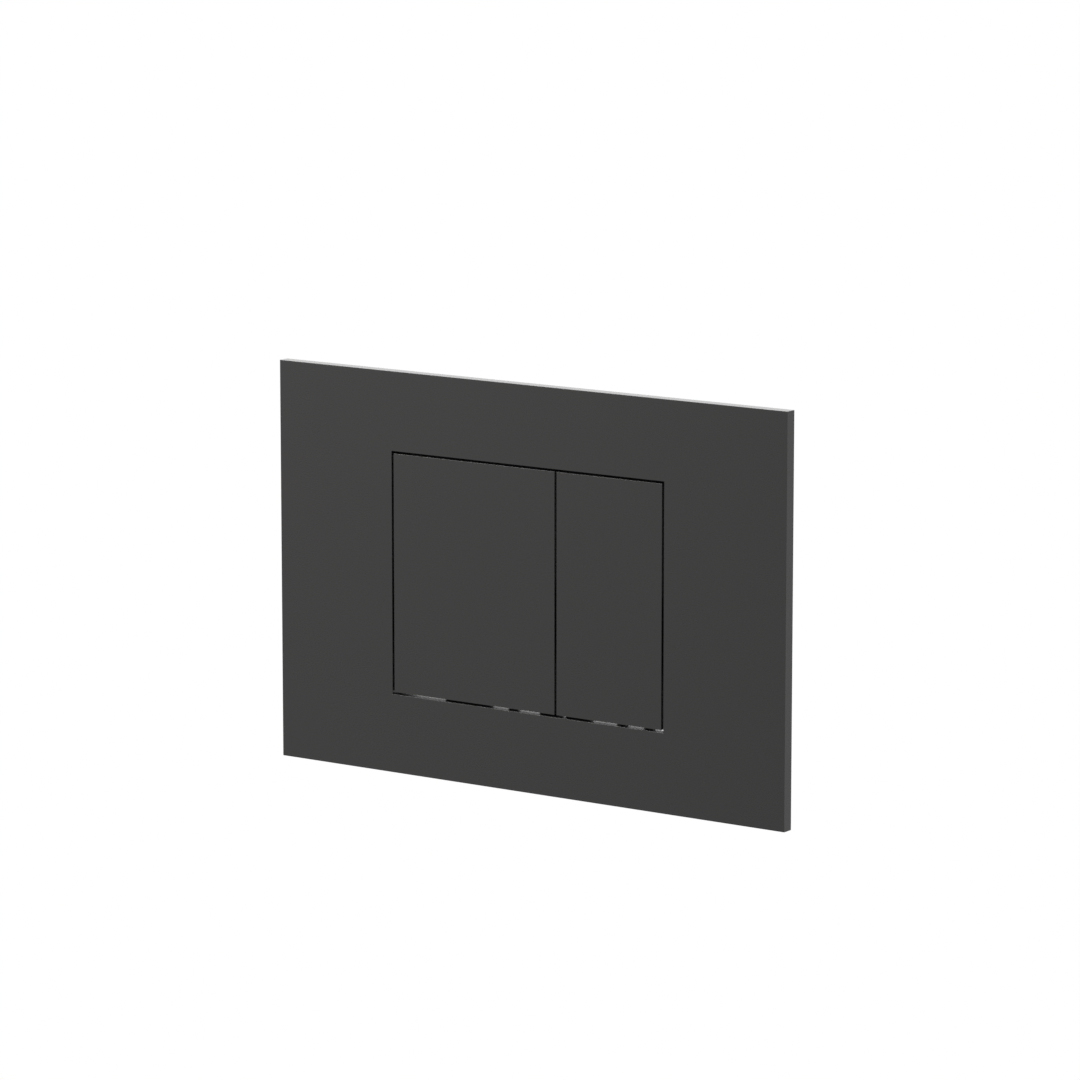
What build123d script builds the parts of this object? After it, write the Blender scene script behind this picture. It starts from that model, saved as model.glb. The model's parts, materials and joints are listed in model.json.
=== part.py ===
from build123d import *
import os

os.makedirs("parts", exist_ok=True)

# Dual flush plate for a cistern built into a wall. All sizes are in millimetres.
# The wall's surface is the plane y = 0. The room is at negative y and the cistern at positive y,
# x runs to the right as seen from the room and z runs up. The origin is the middle of the plate.

# Face plate, a shallow die-cast tray with a window
plate_width = 245.0
plate_height = 165.0
plate_depth = 5.0
plate_front_wall = 1.6
plate_rim_wall = 2.0
plate_rib_wall = 1.0
plate_rib_height = 1.2
plate_rib_pitch = 27.0
plate_side_ribs = 5
plate_end_ribs = 7
edge_round = 0.1

# Window with its collar, set in from the frame's walls, and the gap around and between the buttons
window_side_margin = 13.95
window_end_margin = 13.55
collar_wall = 1.4
collar_depth = 3.9
button_gap = 1.0

# Button caps, with notches in their skirts that hold the carriers
full_button_width = 79.05
cap_front_wall = 1.8
cap_skirt_wall = 1.6
cap_skirt_depth = 4.5
tab_width = 8.0
tab_reach = 0.8
tab_thickness = 1.0
tab_setback = 0.5
tab_spacing = 58.0

# Carriers, the plastic mouldings inside the caps
carrier_base = 2.0
carrier_rib_wall = 1.2
carrier_rib_height = 1.6
carrier_rib_spread = 22.0
carrier_rib_margin = 14.0
pad_width = 13.0
pad_height = 4.2

# Stop lips under the buttons: inset from the button's side to the lip's middle, and the lip's width.
# The middle lip's share is its place on the way from the left lip to the right one.
full_outer_lip_inset = 32.95
full_outer_lip_width = 22.5
full_inner_lip_inset = 5.75
full_inner_lip_width = 10.4
full_middle_lip_share = 0.545
half_inner_lip_inset = 6.6
half_inner_lip_width = 12.1
half_outer_lip_inset = 9.7
half_middle_lip_share = 0.618
narrow_lip_width = 4.2
lip_thickness = 2.0
lip_web = 2.4
lip_shoulder = 1.2
lip_clearance = 0.6
stop_room = 4.4
buffer_thickness = 1.5
buffer_height = 3.0
buffer_margin = 0.6

# Hinges at the tops of the buttons
hinge_drop = 5.05
hinge_inset = 2.6
hinge_side_gap = 0.4
lug_thickness = 3.5
lug_setback = 0.7
lug_foot = 8.0
eye_thickness = 4.0
eye_radius = 3.2
eye_foot = 11.0
pin_radius = 1.5
pin_overhang = 0.5
rail_wall = 1.2
rail_clearance = 1.0

# Chassis behind the plate, which carries the buttons
flange_thickness = 2.5
chassis_wall = 2.0
chassis_depth = 9.9
gusset_wall = 1.4
gusset_reach = 4.5
gusset_pitch = 26.0
divider_rib_wall = 1.2
divider_rib_depth = 6.0
snap_spacing = 90.0
snap_width = 12.0
snap_thickness = 1.8
barb_height = 1.5
barb_length = 3.4
snap_tip = 1.3

# Square studs cast on the plate, seats on the chassis and push-on clips that hold the two together
stud_width = 3.6
stud_height = 6.5
stud_spacing = 76.0
seat_wall = 2.0
seat_height = 2.0
plate_clip_thickness = 0.8
plate_clip_slit = 0.8
plate_clip_slit_length = 6.0

# Push rods with their adjustable heads, lock nuts, return springs and clips
rod_drop = 62.0
rod_width = 7.6
rod_rib = 2.4
rod_end_y = 70.0
rod_thread_radius = 3.0
rod_thread_in_head = 3.0
rod_collar_flats = 14.0
rod_collar_thickness = 2.0
head_flats = 15.0
head_length = 5.0
head_slope = 1.4
head_nose_flats = 8.0
nut_flats = 10.0
nut_thickness = 3.0
nut_chamfer = 0.5
spring_outer_radius = 6.5
spring_wire_width = 1.2
spring_wire_thickness = 0.5
spring_turns = 3.0
rod_clip_width = 12.0
rod_clip_thickness = 0.8
groove_depth = 0.8

# Mounting frame in the wall opening
frame_width = 202.0
frame_height = 132.0
frame_depth = 29.4
frame_setback = 0.6
frame_wall = 2.4
frame_inner_corner = 1.2
pocket_width = 16.2
bridge_height = 32.0
bridge_lip = 5.6
guide_length = 16.0
guide_radius = 6.6
guide_rib_wall = 1.6
guide_rib_reach = 6.0
spigot_length = 2.0
catch_setback = 8.9
ear_setback = 13.4
ear_thickness = 3.0
ear_height = 32.0

# Fixing screws and washers that hold the frame to the cistern
fixing_thread_radius = 3.0
fixing_shank_radius = 2.65
fixing_end_y = 45.0
fixing_shank_beyond_ear = 2.0
fixing_head_flats = 11.0
fixing_head_height = 6.0
fixing_slot_width = 1.4
fixing_slot_depth = 1.8
washer_width = 14.0
washer_thickness = 1.2

# Clearances
slip_gap = 0.3
snug_gap = 0.1
pin_gap = 0.05
press_gap = 0.02
push_gap = 0.3
guide_gap = 0.1
spring_gap = 0.2
clip_gap = 0.4
hole_gap = 0.7

# Depths, from the room towards the cistern
front_y = -plate_depth
plate_back_y = front_y + plate_front_wall
flange_back_y = plate_back_y + flange_thickness
seat_top_y = flange_back_y + seat_height
cap_inside_y = front_y + cap_front_wall
cap_back_y = front_y + cap_skirt_depth
carrier_back_y = cap_inside_y + carrier_base
tab_front_y = cap_inside_y + tab_setback
lip_front_y = flange_back_y + buffer_thickness
lip_back_y = lip_front_y + lip_thickness
hinge_y = cap_back_y + lug_setback + eye_radius
pad_back_y = carrier_back_y + pad_height
head_front_y = pad_back_y + push_gap
head_back_y = head_front_y + head_length
nut_back_y = head_back_y + nut_thickness
collar_back_y = nut_back_y + rod_collar_thickness
frame_back_y = frame_setback + frame_depth
web_front_y = frame_back_y - frame_wall
guide_end_y = frame_back_y + guide_length
rod_clip_front_y = guide_end_y + clip_gap
catch_front_y = frame_setback + catch_setback
ear_front_y = frame_setback + ear_setback
ear_back_y = ear_front_y + ear_thickness
fixing_head_back_y = ear_front_y - washer_thickness
fixing_thread_y = ear_back_y + fixing_shank_beyond_ear

# Places across the plate
cross_wall_x = frame_width / 2 - frame_wall - pocket_width - frame_wall / 2
frame_inside_z = frame_height / 2 - frame_wall
window_width = 2 * (cross_wall_x - frame_wall / 2 - window_side_margin)
window_height = 2 * (frame_inside_z - window_end_margin)
button_height = window_height - 2 * button_gap
half_button_width = window_width - full_button_width - 3 * button_gap
full_x = -window_width / 2 + button_gap + full_button_width / 2
half_x = window_width / 2 - button_gap - half_button_width / 2
divider_x = full_x + (full_button_width + button_gap) / 2
hinge_z = button_height / 2 - hinge_drop
rod_z = hinge_z - rod_drop
chassis_side_x = window_width / 2 + collar_wall + slip_gap
chassis_top_z = window_height / 2 + collar_wall + slip_gap
chassis_floor_z = -chassis_top_z - stop_room
fixing_x = frame_width / 2 - frame_wall - pocket_width / 2
snap_outer_z = frame_inside_z - slip_gap
flange_width = 2 * cross_wall_x - frame_wall
flange_height = 2 * snap_outer_z
seat_width = stud_width + 2 * slip_gap + 2 * seat_wall
stud_x = chassis_side_x + chassis_wall + seat_width / 2
carrier_inset = cap_skirt_wall + snug_gap
lip_low_z = -button_height / 2 + carrier_inset
lip_end_z = chassis_floor_z + lip_clearance
stop_room_z = (chassis_floor_z - chassis_top_z) / 2
full_outer_lip_x = full_x - full_button_width / 2 + full_outer_lip_inset
full_inner_lip_x = full_x + full_button_width / 2 - full_inner_lip_inset
full_middle_lip_x = full_outer_lip_x + full_middle_lip_share * (full_inner_lip_x - full_outer_lip_x)
half_inner_lip_x = half_x - half_button_width / 2 + half_inner_lip_inset
half_outer_lip_x = half_x + half_button_width / 2 - half_outer_lip_inset
half_middle_lip_x = half_inner_lip_x + half_middle_lip_share * (half_outer_lip_x - half_inner_lip_x)
rail_low_z = hinge_z + eye_radius + rail_clearance

# Each button's middle and width, and its stop lips as (middle of the lip, width of the lip)
buttons = {"full": (full_x, full_button_width), "half": (half_x, half_button_width)}
lips = {
    "full": [
        (full_outer_lip_x, full_outer_lip_width),
        (full_middle_lip_x, narrow_lip_width),
        (full_inner_lip_x, full_inner_lip_width),
    ],
    "half": [
        (half_inner_lip_x, half_inner_lip_width),
        (half_middle_lip_x, narrow_lip_width),
        (half_outer_lip_x, narrow_lip_width),
    ],
}


def facing_room(y, x=0.0, z=0.0):
    """A plane parallel to the wall at depth y, seen from the room: its normal points at the room."""
    return Plane(origin=(x, y, z), x_dir=(1, 0, 0), z_dir=(0, -1, 0))


def hinge_sides(x, width):
    """For each end of a button's hinge: the lug's and the eye's lower x, from the button's sides inwards."""
    outer = width / 2 - hinge_inset
    lug_inner = outer - lug_thickness
    eye_outer = lug_inner - hinge_side_gap
    return [(x - outer, x - eye_outer), (x + lug_inner, x + eye_outer - eye_thickness)]


# Face plate: rounded block, hollowed from behind, with the window's collar, square studs and ribs
with BuildPart() as face_plate:
    with BuildSketch(facing_room(front_y)):
        Rectangle(plate_width, plate_height)
    extrude(amount=-plate_depth)
    fillet(face_plate.faces().sort_by(Axis.Y)[0].edges(), edge_round)
    with BuildSketch(facing_room(0)):
        Rectangle(plate_width - 2 * plate_rim_wall, plate_height - 2 * plate_rim_wall)
    extrude(amount=plate_depth - plate_front_wall, mode=Mode.SUBTRACT)
    with BuildSketch(facing_room(plate_back_y)):
        Rectangle(window_width + 2 * collar_wall, window_height + 2 * collar_wall)
    extrude(amount=plate_front_wall - collar_depth)
    with BuildSketch(facing_room(front_y)):
        Rectangle(window_width, window_height)
    extrude(amount=-collar_depth, mode=Mode.SUBTRACT)
    window_edges = face_plate.faces().sort_by(Axis.Y)[0].inner_wires()[0].edges()
    fillet(window_edges, edge_round)
    with BuildSketch(facing_room(plate_back_y)):
        with GridLocations(2 * stud_x, stud_spacing, 2, 2):
            Rectangle(stud_width, stud_width)
    extrude(amount=-stud_height)
    side_rib = plate_width / 2 - plate_rim_wall - flange_width / 2 - slip_gap
    side_rib_x = flange_width / 2 + slip_gap + side_rib / 2
    end_rib = plate_height / 2 - plate_rim_wall - flange_height / 2 - slip_gap
    end_rib_z = flange_height / 2 + slip_gap + end_rib / 2
    with BuildSketch(facing_room(plate_back_y)):
        with GridLocations(2 * side_rib_x, plate_rib_pitch, 2, plate_side_ribs):
            Rectangle(side_rib, plate_rib_wall)
        with GridLocations(plate_rib_pitch, 2 * end_rib_z, plate_end_ribs, 2):
            Rectangle(plate_rib_wall, end_rib)
    extrude(amount=-plate_rib_height)

face_plate.part.label = "face_plate"
export_step(face_plate.part, "parts/face_plate.step")

# Chassis: flange against the plate, box around the buttons with a rib between their lips, hinge lugs on a
# rail, clip seats, snap arms and gussets
with BuildPart() as button_chassis:
    with BuildSketch(facing_room(plate_back_y)):
        Rectangle(flange_width, flange_height)
        Rectangle(2 * chassis_side_x, 2 * chassis_top_z, mode=Mode.SUBTRACT)
    extrude(amount=-flange_thickness)
    box_height = chassis_top_z - chassis_floor_z
    box_middle_z = (chassis_top_z + chassis_floor_z) / 2
    with BuildSketch(facing_room(flange_back_y, z=box_middle_z)):
        Rectangle(2 * (chassis_side_x + chassis_wall), box_height + 2 * chassis_wall)
        Rectangle(2 * chassis_side_x, box_height, mode=Mode.SUBTRACT)
    extrude(amount=-chassis_depth)
    foot_z = chassis_top_z + chassis_wall / 2
    with BuildSketch(facing_room(hinge_y - eye_radius, z=(foot_z + rail_low_z) / 2)):
        Rectangle(2 * chassis_side_x + chassis_wall, foot_z - rail_low_z)
    extrude(amount=-rail_wall)
    for x, width in buttons.values():
        for lug_x, eye_x in hinge_sides(x, width):
            with BuildSketch(Plane.YZ.offset(lug_x)):
                with BuildLine():
                    Line((hinge_y - eye_radius, foot_z), (hinge_y - eye_radius + lug_foot, foot_z))
                with Locations((hinge_y, hinge_z)):
                    Circle(eye_radius)
                make_hull()
                with Locations((hinge_y, hinge_z)):
                    Circle(pin_radius + press_gap, mode=Mode.SUBTRACT)
            extrude(amount=lug_thickness)
    with BuildSketch(facing_room(flange_back_y)):
        with GridLocations(2 * stud_x, stud_spacing, 2, 2):
            Rectangle(seat_width, seat_width)
    extrude(amount=-seat_height)
    with BuildSketch(facing_room(plate_back_y)):
        with GridLocations(2 * stud_x, stud_spacing, 2, 2):
            Rectangle(stud_width + 2 * slip_gap, stud_width + 2 * slip_gap)
    extrude(amount=-flange_thickness - seat_height, mode=Mode.SUBTRACT)
    barb_y = catch_front_y + slip_gap
    snap_end_y = barb_y + barb_length + snap_tip
    for up in (1, -1):
        inner_z = up * (snap_outer_z - snap_thickness)
        outer_z = up * snap_outer_z
        barb_z = up * (snap_outer_z + barb_height)
        for snap_x in (-snap_spacing / 2, snap_spacing / 2):
            with BuildSketch(Plane.YZ.offset(snap_x - snap_width / 2)):
                with BuildLine():
                    Polyline(
                        (flange_back_y, inner_z),
                        (snap_end_y, inner_z),
                        (barb_y + barb_length, outer_z),
                        (barb_y, barb_z),
                        (barb_y, outer_z),
                        (flange_back_y, outer_z),
                        close=True,
                    )
                make_face()
            extrude(amount=snap_width)
    with BuildSketch(facing_room(flange_back_y, x=divider_x, z=stop_room_z)):
        Rectangle(divider_rib_wall, stop_room)
    extrude(amount=-divider_rib_depth)
    for up, wall_z in ((1, chassis_top_z + chassis_wall), (-1, chassis_floor_z - chassis_wall)):
        for gusset_x in (-gusset_pitch, 0, gusset_pitch):
            with BuildSketch(Plane.YZ.offset(gusset_x - gusset_wall / 2)):
                with BuildLine():
                    Polyline(
                        (flange_back_y, wall_z),
                        (flange_back_y + gusset_reach, wall_z),
                        (flange_back_y, wall_z + up * gusset_reach),
                        close=True,
                    )
                make_face()
            extrude(amount=gusset_wall)

button_chassis.part.label = "button_chassis"
export_step(button_chassis.part, "parts/button_chassis.step")

# Push-on clips on the studs: a square hole, and a cross-shaped slit that lets each clip spring
with BuildPart() as plate_clips:
    with BuildSketch(facing_room(seat_top_y)):
        with GridLocations(2 * stud_x, stud_spacing, 2, 2):
            Rectangle(seat_width - 2 * snug_gap, seat_width - 2 * snug_gap)
            Rectangle(stud_width + 2 * press_gap, stud_width + 2 * press_gap, mode=Mode.SUBTRACT)
            Rectangle(plate_clip_slit_length, plate_clip_slit, mode=Mode.SUBTRACT)
            Rectangle(plate_clip_slit, plate_clip_slit_length, mode=Mode.SUBTRACT)
    extrude(amount=-plate_clip_thickness)

plate_clips.part.label = "plate_clips"
export_step(plate_clips.part, "parts/plate_clips.step")

# Rubber buffers on the flange, against which the springs hold the stop lips
with BuildPart() as stop_buffers:
    with BuildSketch(facing_room(flange_back_y)):
        for lip_x, lip_width in lips["full"] + lips["half"]:
            with Locations((lip_x, stop_room_z)):
                Rectangle(lip_width - 2 * buffer_margin, buffer_height)
    extrude(amount=-buffer_thickness)

stop_buffers.part.label = "stop_buffers"
export_step(stop_buffers.part, "parts/stop_buffers.step")

for name, (middle_x, width) in buttons.items():
    carrier_width = width - 2 * carrier_inset

    # Metal cap with a skirt all round and a notch for each of the carrier's tabs
    with BuildPart() as button:
        with BuildSketch(facing_room(front_y, x=middle_x)):
            Rectangle(width, button_height)
        extrude(amount=-cap_skirt_depth)
        fillet(button.faces().sort_by(Axis.Y)[0].edges(), edge_round)
        with BuildSketch(facing_room(cap_back_y, x=middle_x)):
            Rectangle(width - 2 * cap_skirt_wall, button_height - 2 * cap_skirt_wall)
        extrude(amount=cap_skirt_depth - cap_front_wall, mode=Mode.SUBTRACT)
        notch_width = tab_width + 2 * snug_gap
        notch_reach = tab_reach + snug_gap
        with BuildSketch(facing_room(tab_front_y - snug_gap, x=middle_x)):
            with GridLocations(0, tab_spacing, 1, 2):
                Rectangle(carrier_width + 2 * notch_reach, notch_width)
        extrude(amount=-tab_thickness - 2 * snug_gap, mode=Mode.SUBTRACT)

    button.part.label = f"{name}_flush_button"
    export_step(button.part, f"parts/{name}_flush_button.step")

    # Plastic carrier: base with snap tabs, ribs, pusher pad, hinge eyes and stop lips
    with BuildPart() as carrier:
        with BuildSketch(facing_room(cap_inside_y, x=middle_x)):
            Rectangle(carrier_width, button_height - 2 * carrier_inset)
        extrude(amount=-carrier_base)
        with BuildSketch(facing_room(tab_front_y, x=middle_x)):
            with GridLocations(0, tab_spacing, 1, 2):
                Rectangle(carrier_width + 2 * tab_reach, tab_width)
        extrude(amount=-tab_thickness)
        with BuildSketch(facing_room(carrier_back_y, x=middle_x)):
            with GridLocations(carrier_rib_spread, 0, 2, 1):
                Rectangle(carrier_rib_wall, button_height - 2 * carrier_rib_margin)
            with GridLocations(0, 2 * rod_z, 1, 2):
                Rectangle(carrier_width, carrier_rib_wall)
        extrude(amount=-carrier_rib_height)
        with BuildSketch(facing_room(carrier_back_y, x=middle_x, z=rod_z)):
            Rectangle(pad_width, pad_width)
        extrude(amount=-pad_height)
        for lug_x, eye_x in hinge_sides(middle_x, width):
            with BuildSketch(Plane.YZ.offset(eye_x)):
                with BuildLine():
                    foot_y = carrier_back_y - carrier_base / 2
                    Line((foot_y, hinge_z + eye_radius - eye_foot), (foot_y, hinge_z + eye_radius))
                with Locations((hinge_y, hinge_z)):
                    Circle(eye_radius)
                make_hull()
                with Locations((hinge_y, hinge_z)):
                    Circle(pin_radius + pin_gap, mode=Mode.SUBTRACT)
            extrude(amount=eye_thickness)
        for lip_x, lip_width in lips[name]:
            with BuildSketch(facing_room(carrier_back_y, x=lip_x, z=lip_low_z + lip_web / 2)):
                Rectangle(lip_width - 2 * lip_shoulder, lip_web)
            extrude(amount=carrier_back_y - lip_back_y)
            lip_top_z = lip_low_z + lip_web
            with BuildSketch(facing_room(lip_front_y, x=lip_x, z=(lip_top_z + lip_end_z) / 2)):
                Rectangle(lip_width, lip_top_z - lip_end_z)
            extrude(amount=-lip_thickness)

    carrier.part.label = f"{name}_flush_carrier"
    export_step(carrier.part, f"parts/{name}_flush_carrier.step")

    # Hinge pin through the lugs and eyes
    pin_length = width - 2 * hinge_inset + 2 * pin_overhang
    with BuildPart() as hinge_pin:
        with BuildSketch(Plane.YZ.offset(middle_x - pin_length / 2)):
            with Locations((hinge_y, hinge_z)):
                Circle(pin_radius)
        extrude(amount=pin_length)

    hinge_pin.part.label = f"{name}_hinge_pin"
    export_step(hinge_pin.part, f"parts/{name}_hinge_pin.step")

    # Rod head: a hexagon adjuster that slopes to a small nose, with a threaded hole in its back
    with BuildPart() as rod_head:
        with BuildSketch(facing_room(head_back_y, x=middle_x, z=rod_z)):
            RegularPolygon(head_flats / 2, 6, major_radius=False)
        extrude(amount=head_length)
        nose = rod_head.faces().sort_by(Axis.Y)[0]
        chamfer(nose.edges(), (head_flats - head_nose_flats) / 2, head_slope, reference=nose)
        with BuildSketch(facing_room(head_back_y, x=middle_x, z=rod_z)):
            Circle(rod_thread_radius + pin_gap)
        extrude(amount=rod_thread_in_head, mode=Mode.SUBTRACT)

    rod_head.part.label = f"{name}_rod_head"
    export_step(rod_head.part, f"parts/{name}_rod_head.step")

    # Lock nut behind the head
    with BuildPart() as lock_nut:
        with BuildSketch(facing_room(head_back_y, x=middle_x, z=rod_z)):
            RegularPolygon(nut_flats / 2, 6, major_radius=False)
        extrude(amount=-nut_thickness)
        chamfer(lock_nut.faces().filter_by(Axis.Y).edges(), nut_chamfer)
        with BuildSketch(facing_room(head_back_y, x=middle_x, z=rod_z)):
            Circle(rod_thread_radius + pin_gap)
        extrude(amount=-nut_thickness, mode=Mode.SUBTRACT)

    lock_nut.part.label = f"{name}_lock_nut"
    export_step(lock_nut.part, f"parts/{name}_lock_nut.step")

    # Push rod: threaded end, hexagon collar and a long cross-ribbed shank with a groove for its clip
    with BuildPart() as push_rod:
        thread_end_y = head_back_y - rod_thread_in_head + snug_gap
        groove_width = rod_width - 2 * groove_depth
        groove_front_y = rod_clip_front_y - snug_gap
        with BuildSketch(facing_room(nut_back_y, x=middle_x, z=rod_z)):
            Circle(rod_thread_radius)
        extrude(amount=nut_back_y - thread_end_y)
        with BuildSketch(facing_room(nut_back_y, x=middle_x, z=rod_z)):
            RegularPolygon(rod_collar_flats / 2, 6, major_radius=False)
        extrude(amount=-rod_collar_thickness)
        with BuildSketch(facing_room(collar_back_y, x=middle_x, z=rod_z)):
            Rectangle(rod_width, rod_rib)
            Rectangle(rod_rib, rod_width)
        extrude(amount=collar_back_y - rod_end_y)
        with BuildSketch(facing_room(groove_front_y, x=middle_x, z=rod_z)):
            Rectangle(2 * rod_width, 2 * rod_width)
            Rectangle(groove_width, groove_width, mode=Mode.SUBTRACT)
        extrude(amount=-rod_clip_thickness - 2 * snug_gap, mode=Mode.SUBTRACT)

    push_rod.part.label = f"{name}_push_rod"
    export_step(push_rod.part, f"parts/{name}_push_rod.step")

    # Return spring of flat wire between the rod's collar and the frame's web
    with BuildPart() as return_spring:
        coil_start_y = collar_back_y + spring_gap + spring_wire_width / 2
        coil_length = web_front_y - spring_gap - spring_wire_width / 2 - coil_start_y
        with BuildLine() as coil:
            Helix(
                pitch=coil_length / spring_turns,
                height=coil_length,
                radius=spring_outer_radius - spring_wire_thickness / 2,
                center=(middle_x, coil_start_y, rod_z),
                direction=(0, 1, 0),
            )
        outwards = coil.line @ 0 - Vector(middle_x, coil_start_y, rod_z)
        with BuildSketch(Plane(origin=coil.line @ 0, x_dir=outwards, z_dir=coil.line % 0)):
            Rectangle(spring_wire_thickness, spring_wire_width)
        sweep(path=coil.line, is_frenet=True)

    return_spring.part.label = f"{name}_return_spring"
    export_step(return_spring.part, f"parts/{name}_return_spring.step")

    # Fork-shaped clip in the rod's groove, which keeps the rod in its guide when the plate is off
    with BuildPart() as rod_clip:
        mouth_width = groove_width + 2 * pin_gap
        with BuildSketch(facing_room(rod_clip_front_y, x=middle_x, z=rod_z)):
            Rectangle(rod_clip_width, rod_clip_width)
            with Locations((0, mouth_width / 2 - rod_clip_width / 2)):
                Rectangle(mouth_width, rod_clip_width, mode=Mode.SUBTRACT)
        extrude(amount=-rod_clip_thickness)

    rod_clip.part.label = f"{name}_rod_clip"
    export_step(rod_clip.part, f"parts/{name}_rod_clip.step")

# Mounting frame: deep rim, two cross walls, fixing ears, and a bridge with a guide for each rod
with BuildPart() as mounting_frame:
    with BuildSketch(facing_room(frame_setback)):
        RectangleRounded(frame_width, frame_height, frame_inner_corner + frame_wall)
        RectangleRounded(
            frame_width - 2 * frame_wall,
            frame_height - 2 * frame_wall,
            frame_inner_corner,
            mode=Mode.SUBTRACT,
        )
        with GridLocations(2 * cross_wall_x, 0, 2, 1):
            Rectangle(frame_wall, frame_height - frame_wall)
    extrude(amount=-frame_depth)
    with BuildSketch(facing_room(web_front_y, z=rod_z)):
        Rectangle(2 * cross_wall_x, bridge_height)
    extrude(amount=-frame_wall)
    with BuildSketch(facing_room(web_front_y - bridge_lip, z=rod_z)):
        with GridLocations(0, bridge_height - frame_wall, 1, 2):
            Rectangle(2 * cross_wall_x, frame_wall)
    extrude(amount=-bridge_lip)
    guide_bore = Vector(rod_width, rod_rib).length / 2 + guide_gap
    for x, width in buttons.values():
        with BuildSketch(facing_room(web_front_y, x=x, z=rod_z)):
            Circle(spring_outer_radius - spring_wire_thickness - slip_gap)
        extrude(amount=spigot_length)
        with BuildSketch(facing_room(frame_back_y, x=x, z=rod_z)):
            Circle(guide_radius)
        extrude(amount=-guide_length)
        for up in (1, -1):
            with BuildSketch(Plane.YZ.offset(x - guide_rib_wall / 2)):
                with BuildLine():
                    Polyline(
                        (frame_back_y, rod_z),
                        (guide_end_y, rod_z),
                        (guide_end_y, rod_z + up * guide_radius),
                        (frame_back_y, rod_z + up * (guide_radius + guide_rib_reach)),
                        close=True,
                    )
                make_face()
            extrude(amount=guide_rib_wall)
        with BuildSketch(facing_room(guide_end_y, x=x, z=rod_z)):
            Circle(guide_bore)
        extrude(amount=guide_end_y - web_front_y + spigot_length, mode=Mode.SUBTRACT)
    with BuildSketch(facing_room(ear_front_y)):
        with GridLocations(2 * fixing_x, 0, 2, 1):
            Rectangle(pocket_width + frame_wall, ear_height)
            Circle(fixing_shank_radius + hole_gap, mode=Mode.SUBTRACT)
    extrude(amount=-ear_thickness)
    with BuildSketch(facing_room(ear_front_y)):
        with GridLocations(2 * fixing_x, ear_height, 2, 2):
            Rectangle(pocket_width + frame_wall, frame_wall)
    extrude(amount=ear_front_y - frame_back_y)
    with BuildSketch(facing_room(catch_front_y)):
        with GridLocations(snap_spacing, frame_height - frame_wall, 2, 2):
            Rectangle(snap_width + 4 * slip_gap, 2 * frame_wall)
    extrude(amount=-barb_length - 2 * slip_gap, mode=Mode.SUBTRACT)

mounting_frame.part.label = "mounting_frame"
export_step(mounting_frame.part, "parts/mounting_frame.step")

for name, side in (("left", -1), ("right", 1)):
    middle_x = side * fixing_x
    fixing_head_front_y = fixing_head_back_y - fixing_head_height

    # Fixing screw: slotted hexagon head, plain shank through the ear, threaded end
    with BuildPart() as fixing_screw:
        with BuildSketch(facing_room(fixing_head_back_y, x=middle_x)):
            RegularPolygon(fixing_head_flats / 2, 6, major_radius=False)
        extrude(amount=fixing_head_height)
        with BuildSketch(facing_room(fixing_head_front_y, x=middle_x)):
            Rectangle(2 * fixing_head_flats, fixing_slot_width)
        extrude(amount=-fixing_slot_depth, mode=Mode.SUBTRACT)
        with BuildSketch(facing_room(fixing_head_back_y, x=middle_x)):
            Circle(fixing_shank_radius)
        extrude(amount=fixing_head_back_y - fixing_thread_y)
        with BuildSketch(facing_room(fixing_thread_y, x=middle_x)):
            Circle(fixing_thread_radius)
        extrude(amount=fixing_thread_y - fixing_end_y)

    fixing_screw.part.label = f"fixing_screw_{name}"
    export_step(fixing_screw.part, f"parts/fixing_screw_{name}.step")

    # Square washer between the screw's head and the frame's ear
    with BuildPart() as fixing_washer:
        with BuildSketch(facing_room(fixing_head_back_y, x=middle_x)):
            Rectangle(washer_width, washer_width)
            Circle(fixing_shank_radius + hole_gap, mode=Mode.SUBTRACT)
        extrude(amount=-washer_thickness)

    fixing_washer.part.label = f"fixing_washer_{name}"
    export_step(fixing_washer.part, f"parts/fixing_washer_{name}.step")
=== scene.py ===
import json
import math

import bmesh
import bpy
from mathutils import Matrix, Vector


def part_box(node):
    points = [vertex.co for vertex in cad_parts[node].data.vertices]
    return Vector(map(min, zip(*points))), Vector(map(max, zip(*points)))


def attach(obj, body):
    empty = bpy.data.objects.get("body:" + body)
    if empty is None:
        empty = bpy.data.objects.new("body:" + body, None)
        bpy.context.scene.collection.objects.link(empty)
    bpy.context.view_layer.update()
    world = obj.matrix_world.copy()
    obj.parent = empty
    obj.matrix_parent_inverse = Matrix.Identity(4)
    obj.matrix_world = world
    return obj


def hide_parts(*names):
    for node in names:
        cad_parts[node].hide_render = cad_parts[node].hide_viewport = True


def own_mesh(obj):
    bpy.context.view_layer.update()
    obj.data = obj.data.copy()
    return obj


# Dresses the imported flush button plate: finishes, coiled springs, threaded screws, light and camera.
# All sizes are in metres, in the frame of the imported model: x right, y into the wall, z up.
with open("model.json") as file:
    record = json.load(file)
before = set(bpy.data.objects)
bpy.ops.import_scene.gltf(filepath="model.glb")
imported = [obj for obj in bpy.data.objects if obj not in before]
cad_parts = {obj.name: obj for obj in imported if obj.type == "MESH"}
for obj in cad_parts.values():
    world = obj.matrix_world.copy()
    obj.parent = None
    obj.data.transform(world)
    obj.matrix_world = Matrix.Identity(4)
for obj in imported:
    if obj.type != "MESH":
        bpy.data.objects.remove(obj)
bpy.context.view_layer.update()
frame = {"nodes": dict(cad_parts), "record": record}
nodes = frame["nodes"]

# Camera of the photograph: it stands to the right of the plate and a little above it
photo_azimuth = math.radians(34.977)
photo_elevation = math.radians(10.026)
photo_distance = 2.1456
photo_aim = Vector((0.00354, 0.0, 0.01988))
photo_lens = 179.88
photo_sensor = 36.0

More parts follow.
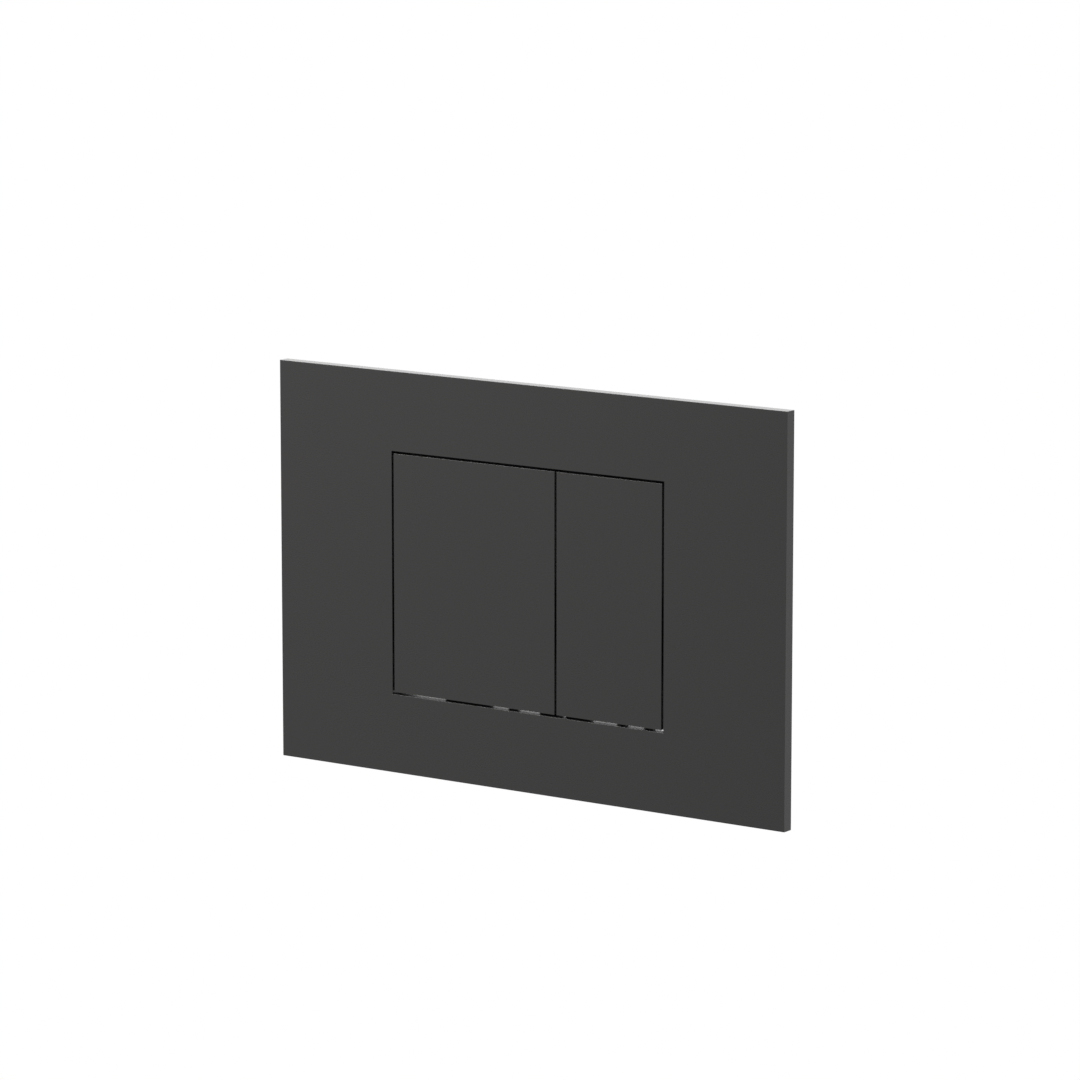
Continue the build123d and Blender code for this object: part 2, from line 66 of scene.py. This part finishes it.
# Room: a white surround, a pale floor a metre below the plate, and two soft lamps, in front and behind
surround_fill = 0.3
floor_drop = 1.0
floor_radius = 2.5
floor_segments = 96
floor_color = (0.85, 0.85, 0.85)
floor_roughness = 0.9
floor_glow_share = 0.8
key_lamp_place = (-0.45, -0.50, 0.40)
key_lamp_size = 0.35
key_lamp_power = 5.6
back_lamp_place = (-0.40, 0.95, 0.95)
back_lamp_size = 2.2
back_lamp_power = 14.0

# What the coats, mouldings and rubber share
coat_ior = 1.45
coat_edge_width = 0.0004
tone_patches = 22.0
mottle_patches = 260.0
grain_spread = 0.1
grain_bump = 0.35

# What the metals share
metal_edge_width = 0.0003
metal_edge_highlight_amount = 0.6
line_stretch = (1.0, 0.04, 1.0)
line_spread = 0.25
line_bump = 0.2
line_depth = 0.00002

# What the shared effects are made with
number_socket = "NodeSocketFloat"
color_socket = "NodeSocketColor"
noise_middle = 0.5
edge_contrast = 5.0
edge_breakup_size = 900.0

# Sill of the plate's window, below the buttons
sill_roughness = 0.45
sill_reach = 0.0012
sill_setback = 0.0003

# Return springs of round wire, with close turns at both ends
spring_wire = 0.0007
spring_dead_turns = 0.9
spring_live_turns = 5.0
spring_steps_per_turn = 40

# Fixing screws with a cut thread
thread_pitch = 0.0015
thread_depth = 0.0006
thread_flat_share = 1 / 6
thread_rows_per_pitch = 12
screw_shank_radius = 0.00265
screw_crest_radius = 0.0030
screw_thread_start_y = 0.0190
screw_head_height = 0.0060
screw_head_edge = 0.0003
screw_head_overlap = 0.0005
screw_slot_width = 0.0014
screw_slot_depth = 0.0018
screw_tip_cone = 0.0008
screw_steps_per_turn = 48

# Edges of the scene's own pieces look sharp past this angle
sharp_angle = math.radians(35)


def put(tree, kind, inputs=None, **settings):
    """Adds a node to a tree, with its settings and the values of its unlinked inputs."""
    node = tree.nodes.new(kind)
    for name, value in settings.items():
        setattr(node, name, value)
    for name, value in (inputs or {}).items():
        node.inputs[name].default_value = value
    return node


def join(tree, source, target):
    """Links (node, output) to (node, input)."""
    tree.links.new(source[0].outputs[source[1]], target[0].inputs[target[1]])


def start_group(name, inputs, outputs):
    """A shader node group and its two end nodes, with sockets given as {name: kind}."""
    group = bpy.data.node_groups.new(name, "ShaderNodeTree")
    for socket, kind in inputs.items():
        group.interface.new_socket(socket, in_out="INPUT", socket_type=kind)
    for socket, kind in outputs.items():
        group.interface.new_socket(socket, in_out="OUTPUT", socket_type=kind)
    return group, put(group, "NodeGroupInput"), put(group, "NodeGroupOutput")


def soft_tone_group():
    """Broad, soft differences in tone, as any moulded or coated surface has."""
    group, given, result = start_group(
        "soft tone",
        {"Color": color_socket, "Patch Size": number_socket, "Amount": number_socket},
        {"Color": color_socket},
    )
    place = put(group, "ShaderNodeTexCoord")
    patches = put(group, "ShaderNodeTexNoise", {"Detail": 3.0, "Roughness": 0.55})
    centred = put(group, "ShaderNodeMath", {1: noise_middle}, operation="SUBTRACT")
    swing = put(group, "ShaderNodeMath", operation="MULTIPLY")
    level = put(group, "ShaderNodeMath", {1: 1.0}, operation="ADD")
    tint = put(group, "ShaderNodeVectorMath", operation="SCALE")
    join(group, (place, "Object"), (patches, "Vector"))
    join(group, (given, "Patch Size"), (patches, "Scale"))
    join(group, (patches, "Fac"), (centred, 0))
    join(group, (centred, 0), (swing, 0))
    join(group, (given, "Amount"), (swing, 1))
    join(group, (swing, 0), (level, 0))
    join(group, (given, "Color"), (tint, 0))
    join(group, (level, 0), (tint, "Scale"))
    join(group, (tint, 0), (result, "Color"))
    return group


def fine_grain_group():
    """Fine grain of a mould or a coat: a height for bump and a roughness that follows it."""
    group, given, result = start_group(
        "fine grain",
        {"Grain Size": number_socket, "Roughness": number_socket, "Spread": number_socket},
        {"Height": number_socket, "Roughness": number_socket},
    )
    place = put(group, "ShaderNodeTexCoord")
    grain = put(group, "ShaderNodeTexNoise", {"Detail": 2.0, "Roughness": 0.6})
    pores = put(group, "ShaderNodeTexVoronoi", feature="SMOOTH_F1")
    both = put(group, "ShaderNodeMath", operation="ADD")
    halve = put(group, "ShaderNodeMath", {1: 0.5}, operation="MULTIPLY")
    centred = put(group, "ShaderNodeMath", {1: noise_middle}, operation="SUBTRACT")
    swing = put(group, "ShaderNodeMath", operation="MULTIPLY")
    level = put(group, "ShaderNodeMath", operation="ADD")
    join(group, (place, "Object"), (grain, "Vector"))
    join(group, (place, "Object"), (pores, "Vector"))
    join(group, (given, "Grain Size"), (grain, "Scale"))
    join(group, (given, "Grain Size"), (pores, "Scale"))
    join(group, (grain, "Fac"), (both, 0))
    join(group, (pores, "Distance"), (both, 1))
    join(group, (both, 0), (halve, 0))
    join(group, (halve, 0), (result, "Height"))
    join(group, (grain, "Fac"), (centred, 0))
    join(group, (centred, 0), (swing, 0))
    join(group, (given, "Spread"), (swing, 1))
    join(group, (swing, 0), (level, 0))
    join(group, (given, "Roughness"), (level, 1))
    join(group, (level, 0), (result, "Roughness"))
    return group


# The lighter edge colour that this group lays on is a painted edge highlight.
def painted_edge_highlight_group():
    """Painted edge highlight: an edge colour where a rounded normal leaves the flat one, broken up by
    noise.
    """
    group, given, result = start_group(
        "painted edge highlight",
        {
            "Color": color_socket,
            "Edge Highlight Color": color_socket,
            "Width": number_socket,
            "Amount": number_socket,
        },
        {"Color": color_socket},
    )
    place = put(group, "ShaderNodeTexCoord")
    flat = put(group, "ShaderNodeNewGeometry")
    rounded = put(group, "ShaderNodeBevel", samples=2)
    facing = put(group, "ShaderNodeVectorMath", operation="DOT_PRODUCT")
    turned = put(group, "ShaderNodeMath", {0: 1.0}, operation="SUBTRACT")
    sharpen = put(group, "ShaderNodeMath", {1: edge_contrast}, operation="MULTIPLY", use_clamp=True)
    breakup = put(group, "ShaderNodeTexNoise", {"Scale": edge_breakup_size, "Detail": 3.0})
    broken = put(group, "ShaderNodeMath", operation="MULTIPLY")
    mask = put(group, "ShaderNodeMath", operation="MULTIPLY", use_clamp=True)
    mix = put(group, "ShaderNodeMix", data_type="RGBA")
    join(group, (given, "Width"), (rounded, "Radius"))
    join(group, (rounded, 0), (facing, 0))
    join(group, (flat, "Normal"), (facing, 1))
    join(group, (facing, "Value"), (turned, 1))
    join(group, (turned, 0), (sharpen, 0))
    join(group, (place, "Object"), (breakup, "Vector"))
    join(group, (sharpen, 0), (broken, 0))
    join(group, (breakup, "Fac"), (broken, 1))
    join(group, (broken, 0), (mask, 0))
    join(group, (given, "Amount"), (mask, 1))
    join(group, (mask, 0), (mix, "Factor"))
    join(group, (given, "Color"), (mix, "A"))
    join(group, (given, "Edge Highlight Color"), (mix, "B"))
    join(group, (mix, "Result"), (result, "Color"))
    return group


def plating_bloom_group():
    """Cloudy plating or drawn steel: two tints that meet in cells, and fine lines along the metal."""
    group, given, result = start_group(
        "plating bloom",
        {
            "Color": color_socket,
            "Bloom Color": color_socket,
            "Bloom Size": number_socket,
            "Line Size": number_socket,
            "Roughness": number_socket,
        },
        {"Color": color_socket, "Roughness": number_socket, "Height": number_socket},
    )
    place = put(group, "ShaderNodeTexCoord")
    cells = put(group, "ShaderNodeTexVoronoi", feature="F1")
    cloud = put(group, "ShaderNodeTexNoise", {"Detail": 4.0, "Roughness": 0.6})
    blend = put(group, "ShaderNodeMath", operation="MULTIPLY", use_clamp=True)
    mix = put(group, "ShaderNodeMix", data_type="RGBA")
    along = put(group, "ShaderNodeVectorMath", {1: line_stretch}, operation="MULTIPLY")
    lines = put(group, "ShaderNodeTexNoise", {"Detail": 1.0})
    centred = put(group, "ShaderNodeMath", {1: noise_middle}, operation="SUBTRACT")
    swing = put(group, "ShaderNodeMath", {1: line_spread}, operation="MULTIPLY")
    level = put(group, "ShaderNodeMath", operation="ADD")
    join(group, (place, "Object"), (cells, "Vector"))
    join(group, (place, "Object"), (cloud, "Vector"))
    join(group, (given, "Bloom Size"), (cells, "Scale"))
    join(group, (given, "Bloom Size"), (cloud, "Scale"))
    join(group, (cells, "Color"), (blend, 0))
    join(group, (cloud, "Fac"), (blend, 1))
    join(group, (blend, 0), (mix, "Factor"))
    join(group, (given, "Color"), (mix, "A"))
    join(group, (given, "Bloom Color"), (mix, "B"))
    join(group, (mix, "Result"), (result, "Color"))
    join(group, (place, "Object"), (along, 0))
    join(group, (along, 0), (lines, "Vector"))
    join(group, (given, "Line Size"), (lines, "Scale"))
    join(group, (lines, "Fac"), (result, "Height"))
    join(group, (lines, "Fac"), (centred, 0))
    join(group, (centred, 0), (swing, 0))
    join(group, (swing, 0), (level, 0))
    join(group, (given, "Roughness"), (level, 1))
    join(group, (level, 0), (result, "Roughness"))
    return group


soft_tone = soft_tone_group()
fine_grain = fine_grain_group()
painted_edge_highlight = painted_edge_highlight_group()
plating_bloom = plating_bloom_group()


def opaque(color):
    """A colour with full alpha, as the sockets take it."""
    return (*color, 1.0)


def start_finish(name):
    """A new material, its node tree and its Principled BSDF."""
    material = bpy.data.materials.new(name)
    material.use_nodes = True
    tree = material.node_tree
    return material, tree, tree.nodes["Principled BSDF"]


def put_effect(tree, group, values):
    """A shared effect placed in a finish, with the finish's own values."""
    return put(tree, "ShaderNodeGroup", values, node_tree=group)


def add_bump(tree, shader, effect, strength, depth):
    """Relief of a finish, from the height that an effect gives."""
    bump = put(tree, "ShaderNodeBump", {"Strength": strength, "Distance": depth})
    join(tree, (effect, "Height"), (bump, "Height"))
    join(tree, (bump, "Normal"), (shader, "Normal"))


def coated_or_moulded(
    name, color, tone, mottle, roughness, grain_size, grain_depth, edge_highlight_color, edge_highlight_amount
):
    """Lacquer, moulded plastic or rubber: a finish with broad tone, fine mottle, painted edge highlights
    and grain.
    """
    material, tree, shader = start_finish(name)
    shader.inputs["IOR"].default_value = coat_ior
    shade = put_effect(
        tree, soft_tone, {"Color": opaque(color), "Patch Size": tone_patches, "Amount": tone}
    )
    flecks = put_effect(tree, soft_tone, {"Patch Size": mottle_patches, "Amount": mottle})
    # Painted edge highlight: a lighter colour along the edges.
    edges = put_effect(
        tree,
        painted_edge_highlight,
        {"Edge Highlight Color": opaque(edge_highlight_color), "Width": coat_edge_width, "Amount": edge_highlight_amount},
    )
    grain = put_effect(
        tree, fine_grain, {"Grain Size": grain_size, "Roughness": roughness, "Spread": grain_spread}
    )
    join(tree, (shade, "Color"), (flecks, "Color"))
    join(tree, (flecks, "Color"), (edges, "Color"))
    join(tree, (edges, "Color"), (shader, "Base Color"))
    join(tree, (grain, "Roughness"), (shader, "Roughness"))
    add_bump(tree, shader, grain, grain_bump, grain_depth)
    return material


def metal(name, color, bloom, bloom_size, line_size, roughness, edge_highlight_color):
    """A bare or plated metal with a cloudy bloom, drawn lines and brighter edges, which are a painted edge
    highlight.
    """
    material, tree, shader = start_finish(name)
    shader.inputs["Metallic"].default_value = 1.0
    plating = put_effect(
        tree,
        plating_bloom,
        {
            "Color": opaque(color),
            "Bloom Color": opaque(bloom),
            "Bloom Size": bloom_size,
            "Line Size": line_size,
            "Roughness": roughness,
        },
    )
    # Painted edge highlight: a lighter colour along the edges.
    edges = put_effect(
        tree,
        painted_edge_highlight,
        {"Edge Highlight Color": opaque(edge_highlight_color), "Width": metal_edge_width, "Amount": metal_edge_highlight_amount},
    )
    join(tree, (plating, "Color"), (edges, "Color"))
    join(tree, (edges, "Color"), (shader, "Base Color"))
    join(tree, (plating, "Roughness"), (shader, "Roughness"))
    add_bump(tree, shader, plating, line_bump, line_depth)
    return material


# Each finish below has an edge colour lighter than its own, painted as an edge highlight.
black_lacquer = coated_or_moulded(
    "black_lacquer",
    color=(0.0174, 0.0161, 0.0157),
    tone=0.10,
    mottle=0.05,
    roughness=0.28,
    grain_size=2600.0,
    grain_depth=0.000002,
    edge_highlight_color=(0.0224, 0.0208, 0.0203),
    edge_highlight_amount=0.5,
)
chassis_black = coated_or_moulded(
    "chassis_black",
    color=(0.022, 0.022, 0.023),
    tone=0.30,
    mottle=0.30,
    roughness=0.55,
    grain_size=1400.0,
    grain_depth=0.00015,
    edge_highlight_color=(0.05, 0.05, 0.052),
    edge_highlight_amount=0.6,
)
carrier_grey = coated_or_moulded(
    "carrier_grey",
    color=(0.05, 0.05, 0.052),
    tone=0.30,
    mottle=0.25,
    roughness=0.50,
    grain_size=1400.0,
    grain_depth=0.00015,
    edge_highlight_color=(0.09, 0.09, 0.092),
    edge_highlight_amount=0.6,
)
frame_grey = coated_or_moulded(
    "frame_grey",
    color=(0.36, 0.37, 0.38),
    tone=0.22,
    mottle=0.16,
    roughness=0.52,
    grain_size=1100.0,
    grain_depth=0.00020,
    edge_highlight_color=(0.47, 0.48, 0.49),
    edge_highlight_amount=0.8,
)
rod_natural = coated_or_moulded(
    "rod_natural",
    color=(0.80, 0.80, 0.77),
    tone=0.08,
    mottle=0.08,
    roughness=0.42,
    grain_size=1800.0,
    grain_depth=0.00006,
    edge_highlight_color=(0.86, 0.86, 0.84),
    edge_highlight_amount=0.5,
)
head_slate = coated_or_moulded(
    "head_slate",
    color=(0.20, 0.21, 0.22),
    tone=0.18,
    mottle=0.18,
    roughness=0.45,
    grain_size=1800.0,
    grain_depth=0.00008,
    edge_highlight_color=(0.30, 0.31, 0.32),
    edge_highlight_amount=0.6,
)
buffer_rubber = coated_or_moulded(
    "buffer_rubber",
    color=(0.03, 0.03, 0.03),
    tone=0.30,
    mottle=0.30,
    roughness=0.80,
    grain_size=2800.0,
    grain_depth=0.00008,
    edge_highlight_color=(0.055, 0.055, 0.055),
    edge_highlight_amount=0.5,
)
zinc_plate = metal(
    "zinc_plate",
    color=(0.46, 0.47, 0.48),
    bloom=(0.55, 0.53, 0.46),
    bloom_size=350.0,
    line_size=2500.0,
    roughness=0.42,
    edge_highlight_color=(0.62, 0.62, 0.61),
)
pin_steel = metal(
    "pin_steel",
    color=(0.46, 0.45, 0.44),
    bloom=(0.52, 0.51, 0.50),
    bloom_size=500.0,
    line_size=6000.0,
    roughness=0.26,
    edge_highlight_color=(0.60, 0.60, 0.58),
)
spring_steel = metal(
    "spring_steel",
    color=(0.42, 0.42, 0.42),
    bloom=(0.35, 0.36, 0.39),
    bloom_size=600.0,
    line_size=5000.0,
    roughness=0.32,
    edge_highlight_color=(0.56, 0.56, 0.56),
)


def inside_box(tree, low, high):
    """1 inside a box of the shared frame, and 0 outside it."""
    place = put(tree, "ShaderNodeTexCoord")
    offset = put(tree, "ShaderNodeVectorMath", {1: (low + high) / 2}, operation="SUBTRACT")
    distance = put(tree, "ShaderNodeVectorMath", operation="ABSOLUTE")
    beyond = put(tree, "ShaderNodeVectorMath", {1: (high - low) / 2}, operation="SUBTRACT")
    split = put(tree, "ShaderNodeSeparateXYZ")
    sideways = put(tree, "ShaderNodeMath", operation="MAXIMUM")
    furthest = put(tree, "ShaderNodeMath", operation="MAXIMUM")
    inside = put(tree, "ShaderNodeMath", {1: 0.0}, operation="LESS_THAN")
    join(tree, (place, "Object"), (offset, 0))
    join(tree, (offset, 0), (distance, 0))
    join(tree, (distance, 0), (beyond, 0))
    join(tree, (beyond, 0), (split, 0))
    join(tree, (split, "X"), (sideways, 0))
    join(tree, (split, "Z"), (sideways, 1))
    join(tree, (sideways, 0), (furthest, 0))
    join(tree, (split, "Y"), (furthest, 1))
    join(tree, (furthest, 0), (inside, 0))
    return inside


def dull_window_sill(material):
    """Duller coat on the window's sill, which is the ledge below the buttons where drips dry."""
    corners = [corner for button in ("full", "half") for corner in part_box(f"{button}_flush_button")]
    low = Vector([min(corner[axis] for corner in corners) for axis in range(3)])
    high = Vector([max(corner[axis] for corner in corners) for axis in range(3)])
    high = Vector((high.x + sill_reach, high.y, low.z - sill_setback))
    low += Vector((-sill_reach, sill_setback, -sill_reach))
    tree = material.node_tree
    shader = tree.nodes["Principled BSDF"]
    mix = put(tree, "ShaderNodeMix", {"B": sill_roughness})
    tree.links.new(shader.inputs["Roughness"].links[0].from_socket, mix.inputs["A"])
    join(tree, (inside_box(tree, low, high), 0), (mix, "Factor"))
    join(tree, (mix, "Result"), (shader, "Roughness"))


dull_window_sill(black_lacquer)

finishes = {
    "plate_coat": black_lacquer,
    "chassis_plastic": chassis_black,
    "carrier_plastic": carrier_grey,
    "frame_plastic": frame_grey,
    "rod_plastic": rod_natural,
    "head_plastic": head_slate,
    "zinc_steel": zinc_plate,
    "pin_steel": pin_steel,
    "spring_steel": spring_steel,
    "buffer_rubber": buffer_rubber,
}
for subpart in frame["record"]["subparts"]:
    node = nodes[subpart["node"]]
    for slot in node.material_slots:
        slot.material = finishes[subpart["material_slot"]]


def add_piece(name, mesh, slot, body):
    """A piece of the scene's own: a mesh with the finish of a slot, on the body that carries it."""
    mesh.materials.clear()
    mesh.materials.append(finishes[slot])
    mesh.polygons.foreach_set("use_smooth", [True] * len(mesh.polygons))
    mesh.set_sharp_from_angle(angle=sharp_angle)
    piece = bpy.data.objects.new(name, mesh)
    bpy.context.scene.collection.objects.link(piece)
    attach(piece, body)
    return piece


def bent_wire(name, places, diameter):
    """A round wire along a line of places, as a mesh with closed ends."""
    curve = bpy.data.curves.new(name, "CURVE")
    curve.dimensions = "3D"
    curve.bevel_depth = diameter / 2
    curve.bevel_resolution = 4
    curve.use_fill_caps = True
    spline = curve.splines.new("POLY")
    spline.points.add(len(places) - 1)
    for point, place in zip(spline.points, places):
        point.co = (*place, 1.0)
    holder = bpy.data.objects.new(name, curve)
    mesh = bpy.data.meshes.new_from_object(holder)
    bpy.data.objects.remove(holder)
    return mesh


def return_spring(button):
    """A coil of round wire with close end turns."""
    node = f"{button}_return_spring"
    low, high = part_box(node)
    middle = (low + high) / 2
    coil_radius = (high.z - low.z) / 2 - spring_wire / 2
    first_y = low.y + spring_wire / 2
    last_y = high.y - spring_wire / 2
    dead_rise = spring_dead_turns * spring_wire
    turns = 2 * spring_dead_turns + spring_live_turns
    places = []
    for step in range(round(turns * spring_steps_per_turn) + 1):
        turn = step / spring_steps_per_turn
        if turn < spring_dead_turns:
            y = first_y + turn * spring_wire
        elif turn > turns - spring_dead_turns:
            y = last_y - (turns - turn) * spring_wire
        else:
            share = (turn - spring_dead_turns) / spring_live_turns
            y = first_y + dead_rise + share * (last_y - first_y - 2 * dead_rise)
        angle = 2 * math.pi * turn
        x = middle.x + coil_radius * math.cos(angle)
        z = middle.z + coil_radius * math.sin(angle)
        places.append((x, y, z))
    mesh = bent_wire(f"{button}_coil", places, spring_wire)
    piece = add_piece(f"{button}_spring_coil", mesh, "spring_steel", "plate")
    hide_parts(node)
    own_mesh(piece)


def slotted_head(middle, flats, front_y):
    """Hexagon screw head with softened edges and a slot across its front, as a mesh."""
    corner_radius = flats / math.sqrt(3)
    lie_along_y = Matrix.Rotation(math.radians(-90), 4, "X") @ Matrix.Rotation(math.radians(90), 4, "Z")
    place = Matrix.Translation((middle.x, front_y + screw_head_height / 2, middle.z))
    hexagon = bmesh.new()
    bmesh.ops.create_cone(
        hexagon,
        cap_ends=True,
        segments=6,
        radius1=corner_radius,
        radius2=corner_radius,
        depth=screw_head_height,
        matrix=place @ lie_along_y,
    )
    bmesh.ops.bevel(
        hexagon,
        geom=hexagon.edges[:],
        offset=screw_head_edge,
        segments=2,
        affect="EDGES",
        profile=0.5,
    )
    head_mesh = bpy.data.meshes.new("screw_head")
    hexagon.to_mesh(head_mesh)
    hexagon.free()
    groove = bmesh.new()
    size = Matrix.Diagonal((2 * flats, 2 * screw_slot_depth, screw_slot_width, 1.0))
    front = Matrix.Translation((middle.x, front_y, middle.z))
    bmesh.ops.create_cube(groove, size=1.0, matrix=front @ size)
    groove_mesh = bpy.data.meshes.new("screw_slot")
    groove.to_mesh(groove_mesh)
    groove.free()
    head = bpy.data.objects.new("screw_head", head_mesh)
    cutter = bpy.data.objects.new("screw_slot", groove_mesh)
    for made in (head, cutter):
        bpy.context.scene.collection.objects.link(made)
    cut = head.modifiers.new("slot", "BOOLEAN")
    cut.operation = "DIFFERENCE"
    cut.solver = "EXACT"
    cut.object = cutter
    bpy.context.view_layer.update()
    mesh = bpy.data.meshes.new_from_object(head.evaluated_get(bpy.context.evaluated_depsgraph_get()))
    for made in (head, cutter):
        bpy.data.objects.remove(made)
    return mesh


def ring(surface, middle, y, radius_at):
    """A ring of points about a screw's axis at depth y, where radius_at gives each angle's radius."""
    made = []
    for step in range(screw_steps_per_turn):
        angle = 2 * math.pi * step / screw_steps_per_turn
        radius = radius_at(angle)
        x = middle.x + radius * math.cos(angle)
        z = middle.z + radius * math.sin(angle)
        made.append(surface.verts.new((x, y, z)))
    return made


def bridge(surface, front, back):
    """Faces between two rings of the same number of points."""
    count = len(front)
    for step in range(count):
        after = (step + 1) % count
        surface.faces.new((front[step], front[after], back[after], back[step]))


def thread_radius(y, angle, end_y):
    """Radius of the thread at a depth and an angle: flat crests and roots, and a run-out at each end."""
    phase = ((y - screw_thread_start_y) / thread_pitch - angle / (2 * math.pi)) % 1.0
    flank = 1.0 - abs(2.0 * phase - 1.0)
    ridge = min(max((flank - thread_flat_share) / (1.0 - 2.0 * thread_flat_share), 0.0), 1.0)
    run_out = min(max(min(y - screw_thread_start_y, end_y - y) / thread_pitch, 0.0), 1.0)
    return screw_crest_radius - thread_depth * (1.0 - ridge * run_out)


def fixing_screw(side):
    """Screw that holds the frame: a slotted hexagon head, a plain shank, a cut thread and a short cone."""
    node = f"fixing_screw_{side}"
    low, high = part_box(node)
    middle = (low + high) / 2
    shank_front_y = low.y + screw_head_height - screw_head_overlap
    thread_end_y = high.y - screw_tip_cone
    thread_length = thread_end_y - screw_thread_start_y
    tip_radius = screw_crest_radius - thread_depth - screw_tip_cone
    body = bmesh.new()
    body.from_mesh(slotted_head(middle, high.z - low.z, low.y))
    rings = [
        ring(body, middle, shank_front_y, lambda angle: screw_shank_radius),
        ring(body, middle, screw_thread_start_y, lambda angle: screw_shank_radius),
    ]
    rows = round(thread_length / thread_pitch * thread_rows_per_pitch)
    for row in range(rows + 1):
        y = screw_thread_start_y + thread_length * row / rows
        rings.append(ring(body, middle, y, lambda angle: thread_radius(y, angle, thread_end_y)))
    rings.append(ring(body, middle, high.y, lambda angle: tip_radius))
    for front, back in zip(rings, rings[1:]):
        bridge(body, front, back)
    for closed_end in (rings[0], rings[-1]):
        body.faces.new(closed_end)
    bmesh.ops.recalc_face_normals(body, faces=body.faces[:])
    mesh = bpy.data.meshes.new(node)
    body.to_mesh(mesh)
    body.free()
    piece = add_piece(f"fixing_screw_{side}_threaded", mesh, "zinc_steel", "plate")
    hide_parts(node)


for button in ("full", "half"):
    return_spring(button)
for side in ("left", "right"):
    fixing_screw(side)


def ray_is_seen(tree):
    """1 for rays that show a thing to the camera, in a reflection or through glass, and 0 for its light."""
    path = put(tree, "ShaderNodeLightPath")
    seen = put(tree, "ShaderNodeMath", operation="MAXIMUM")
    through = put(tree, "ShaderNodeMath", operation="MAXIMUM")
    join(tree, (path, "Is Camera Ray"), (seen, 0))
    join(tree, (path, "Is Glossy Ray"), (seen, 1))
    join(tree, (seen, 0), (through, 0))
    join(tree, (path, "Is Transmission Ray"), (through, 1))
    return through


def white_surround():
    """World that looks white, at strength 1, and lights the plate more softly."""
    world = bpy.data.worlds.new("white_surround")
    world.use_nodes = True
    bpy.context.scene.world = world
    tree = world.node_tree
    sky = tree.nodes["Background"]
    sky.inputs["Color"].default_value = (1, 1, 1, 1)
    strength = put(tree, "ShaderNodeMapRange", {"To Min": surround_fill, "To Max": 1.0})
    join(tree, (ray_is_seen(tree), 0), (strength, "Value"))
    join(tree, (strength, "Result"), (sky, "Strength"))


def pale_floor():
    """Round floor below the plate, near white to the camera, which keeps the plate's shadow."""
    disc = bmesh.new()
    bmesh.ops.create_circle(disc, cap_ends=True, segments=floor_segments, radius=floor_radius)
    mesh = bpy.data.meshes.new("floor")
    disc.to_mesh(mesh)
    disc.free()
    floor = bpy.data.objects.new("floor", mesh)
    floor.location = (0, 0, -floor_drop)
    bpy.context.scene.collection.objects.link(floor)
    material, tree, shader = start_finish("floor_white")
    shader.inputs["Base Color"].default_value = opaque(floor_color)
    shader.inputs["Roughness"].default_value = floor_roughness
    glow = put(tree, "ShaderNodeEmission", {"Strength": 1.0})
    share = put(tree, "ShaderNodeMath", {1: floor_glow_share}, operation="MULTIPLY")
    mix = put(tree, "ShaderNodeMixShader")
    join(tree, (ray_is_seen(tree), 0), (share, 0))
    join(tree, (share, 0), (mix, 0))
    join(tree, (shader, 0), (mix, 1))
    join(tree, (glow, 0), (mix, 2))
    join(tree, (mix, 0), (tree.nodes["Material Output"], "Surface"))
    mesh.materials.append(material)


def soft_lamp(name, place, size, power):
    """A square soft lamp that faces the middle of the plate and is hidden from the camera itself."""
    light = bpy.data.lights.new(name, "AREA")
    light.shape = "SQUARE"
    light.size = size
    light.energy = power
    lamp = bpy.data.objects.new(name, light)
    lamp.location = place
    lamp.rotation_mode = "QUATERNION"
    lamp.rotation_quaternion = (-Vector(place)).to_track_quat("-Z", "Y")
    lamp.visible_camera = False
    bpy.context.scene.collection.objects.link(lamp)


def photo_camera():
    """Camera at the photograph's viewing angle and distance."""
    data = bpy.data.cameras.new("photo_camera")
    data.lens = photo_lens
    data.sensor_width = photo_sensor
    camera = bpy.data.objects.new("photo_camera", data)
    level = math.cos(photo_elevation)
    back = Vector(
        (math.sin(photo_azimuth) * level, -math.cos(photo_azimuth) * level, math.sin(photo_elevation))
    )
    camera.location = photo_aim + back * photo_distance
    camera.rotation_mode = "QUATERNION"
    camera.rotation_quaternion = (-back).to_track_quat("-Z", "Y")
    bpy.context.scene.collection.objects.link(camera)
    bpy.context.scene.camera = camera


white_surround()
pale_floor()
soft_lamp("key_lamp", key_lamp_place, key_lamp_size, key_lamp_power)
soft_lamp("back_lamp", back_lamp_place, back_lamp_size, back_lamp_power)
photo_camera()
bpy.context.scene.view_settings.view_transform = "Standard"
